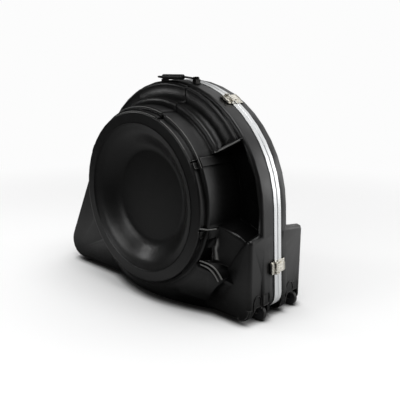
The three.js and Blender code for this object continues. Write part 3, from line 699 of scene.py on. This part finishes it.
def stuffedPad(node, settings, skin):
    kind, count, fill = settings[node]
    piece = copyOf(node, node + "_stuffed")
    remesh = piece.modifiers.new("skin", "REMESH")
    remesh.mode = "VOXEL"
    remesh.voxel_size = skin["voxel"]
    bpy.ops.object.modifier_apply(modifier="skin")
    bpy.ops.object.mode_set(mode="EDIT")
    bpy.ops.mesh.select_all(action="SELECT")
    share, times = skin["smooth"]
    bpy.ops.mesh.vertices_smooth(factor=share, repeat=times)
    bpy.ops.transform.shrink_fatten(value=-skin["smaller"])
    bpy.ops.object.mode_set(mode="OBJECT")
    swell(piece, skin)
    finer = piece.modifiers.new("finer", "SUBSURF")
    finer.levels = 1
    finer.render_levels = 1
    bpy.ops.object.modifier_apply(modifier="finer")
    sew(piece, kind, count, skin)
    bpy.ops.object.shade_smooth()
    dress(piece, bodyOf[node], slotOf[node], [node])


for node in padSet:
    stuffedPad(node, padSet, padSkin)
print("pads are stuffed and sewn")


# Thin raised ribs moulded on the shells, and thin rods laid along the crests of the drum's two
# edges as painted highlight lines; ribs and rods are in the painted highlight copy of the ABS, the
# wheel arches in plain ABS

drumMiddle = (81.565, 438.5)  # in mm
ribSet = {
    # name: radius in mm, points in mm
    "gussetRib": (
        3.2,
        (
            (398, -112, 644.5),
            (411, -91, 653.5),
            (429, -79.4, 665.8),
            (447, -67, 677.2),
            (468, -54, 691.5),
        ),
    ),
    "ledgeRib": (
        3.0,
        (
            (419, -213, 379.6),
            (428, -200, 376.4),
            (435.8, -186, 373.6),
            (439, -168, 371.6),
            (441, -148, 370),
        ),
    ),
    "pocketRib": (
        3.2,
        (
            (384, -176, 239.5),
            (406.2, -170.3, 237.5),
            (434.7, -162.5, 229.3),
            (458.2, -155, 209.2),
            (473, -149, 181),
        ),
    ),
    "pocketLowerRib": (
        3.0,
        (
            (386, -177, 226),
            (399, -173.4, 224.5),
            (424.7, -165.9, 216.3),
            (446.2, -159.1, 197),
            (459, -154, 171),
        ),
    ),
}
archSet = {
    # name: radius in mm, points in mm, over the recess of each wheel
    "frontWheelArch": (
        2.6,
        (
            (572.6, -82, 60),
            (572.8, -82, 94),
            (573, -75, 111),
            (573.2, -60, 119),
            (573.6, -46, 112),
            (574, -40, 98),
            (574, -39.5, 80),
        ),
    ),
    "backWheelArch": (
        2.6,
        (
            (573, 120, 60),
            (573, 120, 94),
            (572.9, 127, 111),
            (572.7, 143, 119),
            (572.5, 159, 112),
            (572.4, 166, 98),
            (572.3, 166.5, 80),
        ),
    ),
}
crestSet = {
    # name: radius, reach from the drum's middle and place along the depth in mm, first and last
    # angle in degrees
    "upperCrestLeft": (1.3, 360.3, -187.8, (113, 71.5)),
    "upperCrestRight": (1.3, 360.3, -187.8, (67, 26)),
    "lowerCrestLeft": (1.3, 343.5, -214.1, (113, 71.5)),
    "lowerCrestRight": (1.3, 343.5, -214.1, (66.5, 40)),
}
crestPoints = 11
barSet = {"order": 3, "steps": 6, "rounding": 3, "merge": 0.01 * mm, "sharp": 50}


def crestRow(reach, depth, angles):
    # a NURBS path runs a little inside its points, so these stand out by as much
    step = math.radians(angles[1] - angles[0]) / (crestPoints - 1)
    outer = reach / math.cos(step / 2)
    turns = [math.radians(angles[0]) + step * index for index in range(crestPoints)]
    return [
        (drumMiddle[0] + outer * math.cos(turn), depth, drumMiddle[1] + outer * math.sin(turn))
        for turn in turns
    ]


def makeRib(name, settings, body, material, bar):
    radius, points = settings[name]
    deselectAll()
    bpy.ops.curve.primitive_nurbs_path_add(location=(0, 0, 0))
    piece = bpy.context.object
    piece.name = name
    path = piece.data.splines[0]
    path.order_u = bar["order"]
    path.resolution_u = bar["steps"]
    path.points.add(len(points) - len(path.points))
    for point, place in zip(path.points, points):
        point.co = (place[0] * mm, place[1] * mm, place[2] * mm, 1.0)
    piece.data.bevel_depth = radius * mm
    piece.data.bevel_resolution = bar["rounding"]
    piece.data.use_fill_caps = True
    bpy.ops.object.convert(target="MESH")
    bpy.ops.object.mode_set(mode="EDIT")
    bpy.ops.mesh.select_all(action="SELECT")
    bpy.ops.mesh.remove_doubles(threshold=bar["merge"])
    bpy.ops.mesh.normals_make_consistent(inside=False)
    bpy.ops.object.mode_set(mode="OBJECT")
    bpy.ops.object.shade_smooth_by_angle(angle=math.radians(bar["sharp"]))
    dress(piece, body, "shell", material=material)


# ribs and crest rods take the painted highlight copy of the ABS
for name in ribSet:
    makeRib(name, ribSet, bodyOf["front_shell"], paintedHighlightAbs, barSet)
for name, (radius, reach, depth, angles) in crestSet.items():
    rows = {name: (radius, crestRow(reach, depth, angles))}
    makeRib(name, rows, bodyOf["front_shell"], paintedHighlightAbs, barSet)
makeRib("frontWheelArch", archSet, bodyOf["front_shell"], mouldedAbs, barSet)
makeRib("backWheelArch", archSet, bodyOf["back_shell"], mouldedAbs, barSet)
print("ribs are laid")


# Small notches that cross the drum's two edges

notchSet = {
    "middle": drumMiddle,
    "angles": (69.3, 31.0, -11.0),  # degrees, up from the wheels' side
    "half": 3.5,  # half the width in mm
    "boxes": (
        # reach from the middle and place along the depth, in mm
        ((343.0, 363.0), (-200.0, -187.8)),
        ((341.2, 352.0), (-222.0, -189.0)),
    ),
}


def cutAway(piece, cutter):
    deselectAll()
    piece.select_set(True)
    bpy.context.view_layer.objects.active = piece
    cut = piece.modifiers.new("cut", "BOOLEAN")
    cut.operation = "DIFFERENCE"
    cut.solver = "EXACT"
    cut.object = cutter
    bpy.ops.object.modifier_apply(modifier="cut")


def cutNotches(piece, settings):
    middle = Vector((settings["middle"][0], 0, settings["middle"][1]))
    half = settings["half"]
    cutters = []
    for degrees in settings["angles"]:
        turn = Matrix.Translation(middle * mm) @ Matrix.Rotation(math.radians(-degrees), 4, "Y")
        for reach, depth in settings["boxes"]:
            size = Vector((reach[1] - reach[0], depth[1] - depth[0], 2 * half))
            centre = Vector((sum(reach) / 2, sum(depth) / 2, 0))
            place = Matrix.Translation(centre * mm)
            bpy.ops.mesh.primitive_cube_add(size=1)
            cutter = bpy.context.object
            cutter.data.transform(place @ Matrix.Diagonal((*(size * mm), 1)))
            cutter.data.transform(turn)
            cutters.append(cutter)
    for cutter in cutters:
        cutAway(piece, cutter)
        bpy.data.objects.remove(cutter)
    evenShade(piece, smoothSet["shell"][1])


cutNotches(bpy.data.objects["front_shell_finished"], notchSet)
print("notches are cut")


# Open recess in front of each wheel, so that its face shows as well as its tread

recessSet = {
    # in mm; of each side: place along the depth and end face of the recess, then of its guard
    "front": ((-80, -30), 571.0, (-32.3, -3.7), 582.2),
    "back": ((122, 172), 570.6, (169.7, 198.3), 571.6),
    "reach": (505, 600),
    "height": (-5, 72),
    "turn": 24,  # radius of the recess's upper corners
    "segments": 8,
    "wall": 4,
    "foot": 15,  # where the recess's lining starts
    "guard": (556, 72, 122),  # inner face, foot and top of the block over each wheel
}


def archedBlock(name, lower, upper, turn=0, segments=1):
    deselectAll()
    bpy.ops.mesh.primitive_cube_add(size=1)
    block = bpy.context.object
    block.name = name
    lower, upper = Vector(lower) * mm, Vector(upper) * mm
    place = Matrix.Translation((lower + upper) / 2)
    block.data.transform(place @ Matrix.Diagonal((*(upper - lower), 1)))
    if not turn:
        return block
    bpy.ops.object.mode_set(mode="EDIT")
    bpy.ops.mesh.select_mode(type="EDGE")
    bpy.ops.mesh.select_all(action="DESELECT")
    bpy.ops.object.mode_set(mode="OBJECT")
    for edge in block.data.edges:
        start, end = (block.data.vertices[index].co for index in edge.vertices)
        onTop = min(start.z, end.z) > upper.z - 0.1 * mm
        edge.select = onTop and abs(start.x - end.x) > mm
    bpy.ops.object.mode_set(mode="EDIT")
    bpy.ops.mesh.bevel(offset=turn * mm, segments=segments)
    bpy.ops.object.mode_set(mode="OBJECT")
    return block


def openRecess(side, settings):
    depth, face, guardDepth, guardFace = settings[side]
    reach, height, wall = settings["reach"], settings["height"], settings["wall"]
    shell = bpy.data.objects[side + "_shell_finished"]
    cutter = archedBlock(
        "cutter",
        (reach[0], depth[0], height[0]),
        (reach[1], depth[1], height[1]),
        settings["turn"],
        settings["segments"],
    )
    liner = archedBlock(
        side + "_wheel_recess",
        (reach[0] - wall, depth[0] - wall, settings["foot"]),
        (face, depth[1] - wall, height[1] + wall),
        settings["turn"] + wall,
        settings["segments"],
    )
    cutAway(liner, cutter)
    cutAway(shell, cutter)
    bpy.data.objects.remove(cutter)
    evenShade(shell, smoothSet["shell"][1])
    inner, low, high = settings["guard"]
    guard = archedBlock(
        side + "_wheel_guard",
        (inner, guardDepth[0], low),
        (guardFace, guardDepth[1], high),
    )
    for piece in (liner, guard):
        dress(piece, bodyOf[side + "_shell"], "shell")


for side in ("front", "back"):
    openRecess(side, recessSet)
print("wheel recesses are open")


# Rounded lower corner of the front foot, beside its wheel

cornerSet = {
    # in mm
    "middle": (519.8, 66.0),
    "radius": 52,
    "inner": 47,  # radius of what stays of the shell inside the new corner
    "front": -105.9,
    "back": -80,
    "margin": 1,
    "edge": 5,  # width of the sloped front edge
    "sides": 96,  # of a full round
    "overlap": 3,  # how far the corner runs on beside the straight walls
}


def depthRod(name, settings, radius, front, back):
    middle = settings["middle"]
    deselectAll()
    bpy.ops.mesh.primitive_cylinder_add(
        vertices=settings["sides"],
        radius=radius * mm,
        depth=(back - front) * mm,
    )
    rod = bpy.context.object
    rod.name = name
    place = Vector((middle[0], (front + back) / 2, middle[1])) * mm
    rod.data.transform(Matrix.Translation(place) @ Matrix.Rotation(math.radians(90), 4, "X"))
    return rod


def roundFoot(settings):
    across, up = settings["middle"]
    front, back, margin = settings["front"], settings["back"], settings["margin"]
    core = depthRod("core", settings, settings["inner"], front - 2 * margin, back + 2 * margin)
    reach = settings["radius"] + settings["edge"]
    cutter = archedBlock(
        "cutter",
        (across, front - margin, up - reach),
        (across + reach, back + margin, up),
    )
    cutAway(cutter, core)
    for name in ("front_shell_finished", "front_wheel_recess"):
        cutAway(bpy.data.objects[name], cutter)
    bpy.data.objects.remove(core)
    bpy.data.objects.remove(cutter)
    evenShade(bpy.data.objects["front_shell_finished"], smoothSet["shell"][1])

    corner = depthRod("front_foot_corner", settings, settings["radius"], front, back)
    bpy.ops.object.mode_set(mode="EDIT")
    bpy.ops.mesh.select_mode(type="EDGE")
    bpy.ops.mesh.select_all(action="DESELECT")
    bpy.ops.object.mode_set(mode="OBJECT")
    for edge in corner.data.edges:
        ends = [corner.data.vertices[index].co for index in edge.vertices]
        edge.select = all(end.y < (front + margin) * mm for end in ends)
    bpy.ops.object.mode_set(mode="EDIT")
    bpy.ops.mesh.bevel(offset=settings["edge"] * mm, segments=1)
    overlap = settings["overlap"]
    planes = (((across - overlap, 0, 0), (1, 0, 0)), ((0, 0, up + overlap), (0, 0, -1)))
    for place, normal in planes:
        bpy.ops.mesh.select_all(action="SELECT")
        bpy.ops.mesh.bisect(
            plane_co=Vector(place) * mm,
            plane_no=normal,
            use_fill=True,
            clear_inner=True,
        )
    bpy.ops.object.mode_set(mode="OBJECT")
    evenShade(corner, smoothSet["shell"][1])
    dress(corner, bodyOf["front_shell"], "shell")


roundFoot(cornerSet)
print("foot corner is rounded")


# Pressed ridges, curled lips and rivets of the four latches

latchSet = {
    # name: place on the outline in mm, direction out of the case in degrees
    "upper_right": ((341.2, 49, 826.5), 58.0),
    "lower_right": ((582.04, 49, 209.86), 2.81),
    "upper_left": ((-178.1, 49, 826.5), 122.0),
    "lower_left": ((-521.23, 49, 279.16), 154.91),
}
leverSet = {
    # in mm from the latch's place
    "ridges": (-31, -38.5),
    "radius": 1.3,
    "length": 32,
    "top": 5.3,
    "lip": (-48, 9.2, 2.2, 40),  # place along the depth, height, radius, length
}
hookSet = {"ridges": (-9, 0, 9), "radius": 1.1, "from": -16, "to": 19, "top": 12.1}
rivetSet = {"places": ((-20, 31), (20, 31)), "radius": 3.4, "height": 1.8, "top": 2.3}
detailSet = {
    "sides": 14,  # of a pressed ridge
    "rounding": 0.6,  # of its ends, as a share of its radius
    "steps": 3,
    "corner": 60,  # degrees, from which its ends are rounded
    "segments": 20,  # of a rivet's head, round and over
    "rings": 12,
    "sharp": 40,  # degrees, from which an edge stays sharp in the shading
}


def roundBar(start, end, radius):
    first, last = Vector(start), Vector(end)
    along = last - first
    deselectAll()
    bpy.ops.mesh.primitive_cylinder_add(
        vertices=detailSet["sides"],
        radius=radius * mm,
        depth=along.length * mm,
    )
    bar = bpy.context.object
    ends = bar.modifiers.new("ends", "BEVEL")
    ends.width = radius * detailSet["rounding"] * mm
    ends.segments = detailSet["steps"]
    ends.limit_method = "ANGLE"
    ends.angle_limit = math.radians(detailSet["corner"])
    bpy.ops.object.modifier_apply(modifier="ends")
    turn = along.to_track_quat("Z", "Y").to_matrix().to_4x4()
    bar.data.transform(Matrix.Translation((first + last) / 2 * mm) @ turn)
    return bar


def rivetHead(across, depth, settings):
    deselectAll()
    bpy.ops.mesh.primitive_uv_sphere_add(
        segments=detailSet["segments"],
        ring_count=detailSet["rings"],
        radius=settings["radius"] * mm,
    )
    head = bpy.context.object
    bpy.ops.object.mode_set(mode="EDIT")
    bpy.ops.mesh.select_all(action="SELECT")
    bpy.ops.mesh.bisect(plane_co=(0, 0, 0), plane_no=(0, 0, 1), clear_inner=True, use_fill=True)
    bpy.ops.object.mode_set(mode="OBJECT")
    flatter = Matrix.Diagonal((1, 1, settings["height"] / settings["radius"], 1))
    head.data.transform(Matrix.Translation(Vector((across, depth, settings["top"])) * mm) @ flatter)
    return head


def joinAs(parts, name):
    deselectAll()
    for part in parts:
        part.select_set(True)
    bpy.context.view_layer.objects.active = parts[0]
    bpy.ops.object.join()
    parts[0].name = name
    bpy.ops.object.shade_smooth_by_angle(angle=math.radians(detailSet["sharp"]))
    return parts[0]


def leverDetails(settings):
    half, top = settings["length"] / 2, settings["top"]
    parts = [
        roundBar((-half, depth, top), (half, depth, top), settings["radius"])
        for depth in settings["ridges"]
    ]
    depth, height, radius, length = settings["lip"]
    parts.append(roundBar((-length / 2, depth, height), (length / 2, depth, height), radius))
    return joinAs(parts, "leverDetails")


def hookDetails(settings):
    start, end, top = settings["from"], settings["to"], settings["top"]
    parts = [
        roundBar((across, start, top), (across, end, top), settings["radius"])
        for across in settings["ridges"]
    ]
    return joinAs(parts, "hookDetails")


def keeperDetails(settings):
    parts = [rivetHead(across, depth, settings) for across, depth in settings["places"]]
    return joinAs(parts, "keeperDetails")


def onLatch(template, name, node, settings):
    place, degrees = settings[name]
    angle = math.radians(degrees)
    out = Vector((math.cos(angle), 0, math.sin(angle)))
    across = Vector((math.sin(angle), 0, -math.cos(angle)))
    turn = Matrix((across, Vector((0, 1, 0)), out)).transposed().to_4x4()
    piece = template.copy()
    piece.data = template.data.copy()
    piece.name = f"{node}_details"
    piece.data.transform(Matrix.Translation(Vector(place) * mm) @ turn)
    bpy.context.scene.collection.objects.link(piece)
    dress(piece, bodyOf[node], "latch")


templates = {
    "lever": leverDetails(leverSet),
    "hook": hookDetails(hookSet),
    "keeper": keeperDetails(rivetSet),
}
for kind, template in templates.items():
    for name in latchSet:
        onLatch(template, name, f"latch_{name}_{kind}", latchSet)
    deselectAll()
    template.select_set(True)
    bpy.ops.object.delete()
print("latches are detailed")


# Floor and backdrop

floorSet = {
    # lengths in metres
    "size": 60,
    "seen": "#f8f8f8",  # white paper as the camera sees it
    "shaded": ("#303030", "#909090", "#f4f4f4"),  # and as it lights the case, front to back
    "ends": (-1.7, 1.0),  # where those shades begin and end
    "between": 0.4,  # share of the way at which the middle one lies
    "contact": 50 * mm,  # how far the painted shade of the case creeps out over the paper
    "paintedContactShade": (0.4, 0.85, 0.03),  # painted shadow: openness from and to, and what is left of the tone
    "fibre": 40.0,
    "roughness": (0.8, 0.95),
    "gloss": 0.1,
    "fade": (1.3, 3.4),  # from the middle, where the paper turns into the backdrop
    "backdrop": "#fcfcfc",
}
roomSet = {
    "backdrop": floorSet["backdrop"],
    "mirrored": (0.06, 1.0),  # strength in what the case mirrors, dark side and white side
    "room": 0.7,  # strength as plain light
    "rightwards": (-0.72, -0.3),  # directions over which the dark side turns white
    "backwards": (0.2, 0.65),
}


def makeFloor(settings):
    # seamless white paper: matt, with a soft shadow near the case that painted shade deepens, and
    # no edge where it meets the backdrop
    bpy.ops.mesh.primitive_plane_add(size=settings["size"], location=(0, 0, 0))
    floor = bpy.context.object
    floor.name = "studioFloor"
    material, tree = newMaterial("whitePaper")
    place = addNode(tree, "ShaderNodeTexCoord")
    rays = addNode(tree, "ShaderNodeLightPath")
    fibre = addNode(
        tree,
        "ShaderNodeTexNoise",
        {"Scale": settings["fibre"], "Detail": 3.0},
        {"Vector": (place, "Object")},
    )
    shine = addNode(
        tree,
        "ShaderNodeMapRange",
        {"To Min": settings["roughness"][0], "To Max": settings["roughness"][1]},
        {"Value": (fibre, "Fac")},
    )
    parts = addNode(tree, "ShaderNodeSeparateXYZ", links={"Vector": (place, "Object")})
    nearness = addNode(
        tree,
        "ShaderNodeMapRange",
        {"From Min": settings["ends"][0], "From Max": settings["ends"][1]},
        {"Value": (parts, "Y")},
    )
    shaded = addNode(tree, "ShaderNodeValToRGB", links={"Fac": (nearness, "Result")})
    ramp = shaded.color_ramp
    ramp.elements[0].color = toLinear(settings["shaded"][0])
    ramp.elements[1].color = toLinear(settings["shaded"][2])
    ramp.elements.new(settings["between"]).color = toLinear(settings["shaded"][1])
    tone = addNode(
        tree,
        "ShaderNodeMix",
        {"data_type": "RGBA", 7: toLinear(settings["seen"])},
        {0: (rays, "Is Camera Ray"), 6: (shaded, "Color")},
    )
    # painted shadow: the paper is darkened where the case closes it in
    under = addNode(
        tree,
        "ShaderNodeAmbientOcclusion",
        {"samples": 12, "Distance": settings["contact"]},
    )
    start, end, left = settings["paintedContactShade"]
    paintedContactShade = addNode(
        tree,
        "ShaderNodeMapRange",
        {"From Min": start, "From Max": end, "To Min": left},
        {"Value": (under, "AO")},
    )
    contact = addNode(
        tree,
        "ShaderNodeVectorMath",
        {"operation": "SCALE"},
        {0: (tone, 2), "Scale": (paintedContactShade, "Result")},
    )
    paper = addNode(
        tree,
        "ShaderNodeBsdfPrincipled",
        {"Specular IOR Level": settings["gloss"]},
        {"Base Color": (contact, "Vector"), "Roughness": (shine, "Result")},
    )
    reach = addNode(
        tree,
        "ShaderNodeVectorMath",
        {"operation": "LENGTH"},
        {0: (place, "Object")},
    )
    faded = addNode(
        tree,
        "ShaderNodeMapRange",
        {
            "interpolation_type": "SMOOTHSTEP",
            "From Min": settings["fade"][0],
            "From Max": settings["fade"][1],
        },
        {"Value": (reach, "Value")},
    )
    seen = addNode(
        tree,
        "ShaderNodeMath",
        {"operation": "MULTIPLY"},
        {0: (faded, "Result"), 1: (rays, "Is Camera Ray")},
    )
    white = addNode(tree, "ShaderNodeEmission", {"Color": toLinear(settings["backdrop"])})
    mixed = addNode(
        tree,
        "ShaderNodeMixShader",
        links={0: (seen, "Value"), 1: (paper, "BSDF"), 2: (white, "Emission")},
    )
    finishMaterial(tree, mixed, "Shader")
    floor.data.materials.append(material)


def makeWorld(settings):
    world = bpy.data.worlds.new("studioWorld")
    bpy.context.scene.world = world
    world.use_nodes = True
    tree = world.node_tree
    tree.nodes.clear()
    rays = addNode(tree, "ShaderNodeLightPath")
    place = addNode(tree, "ShaderNodeTexCoord")
    parts = addNode(tree, "ShaderNodeSeparateXYZ", links={"Vector": (place, "Generated")})
    start, end = settings["rightwards"]
    rightwards = addNode(
        tree,
        "ShaderNodeMapRange",
        {"interpolation_type": "SMOOTHSTEP", "From Min": start, "From Max": end},
        {"Value": (parts, "X")},
    )
    start, end = settings["backwards"]
    backwards = addNode(
        tree,
        "ShaderNodeMapRange",
        {"interpolation_type": "SMOOTHSTEP", "From Min": start, "From Max": end},
        {"Value": (parts, "Y")},
    )
    both = addNode(
        tree,
        "ShaderNodeMath",
        {"operation": "MULTIPLY"},
        {0: (rightwards, "Result"), 1: (backwards, "Result")},
    )
    mirrored = addNode(
        tree,
        "ShaderNodeMapRange",
        {"To Min": settings["mirrored"][0], "To Max": settings["mirrored"][1]},
        {"Value": (both, "Value")},
    )
    indirect = addNode(
        tree,
        "ShaderNodeMix",
        {"data_type": "FLOAT", 2: settings["room"]},
        {0: (rays, "Is Glossy Ray"), 3: (mirrored, "Result")},
    )
    strength = addNode(
        tree,
        "ShaderNodeMix",
        {"data_type": "FLOAT", 3: 1.0},
        {0: (rays, "Is Camera Ray"), 2: (indirect, 0)},
    )
    background = addNode(
        tree,
        "ShaderNodeBackground",
        {"Color": toLinear(settings["backdrop"])},
        {"Strength": (strength, 0)},
    )
    addNode(tree, "ShaderNodeOutputWorld", links={"Surface": (background, "Background")})


makeFloor(floorSet)
makeWorld(roomSet)
bpy.context.scene.view_settings.view_transform = "Standard"
print("floor and world are made")
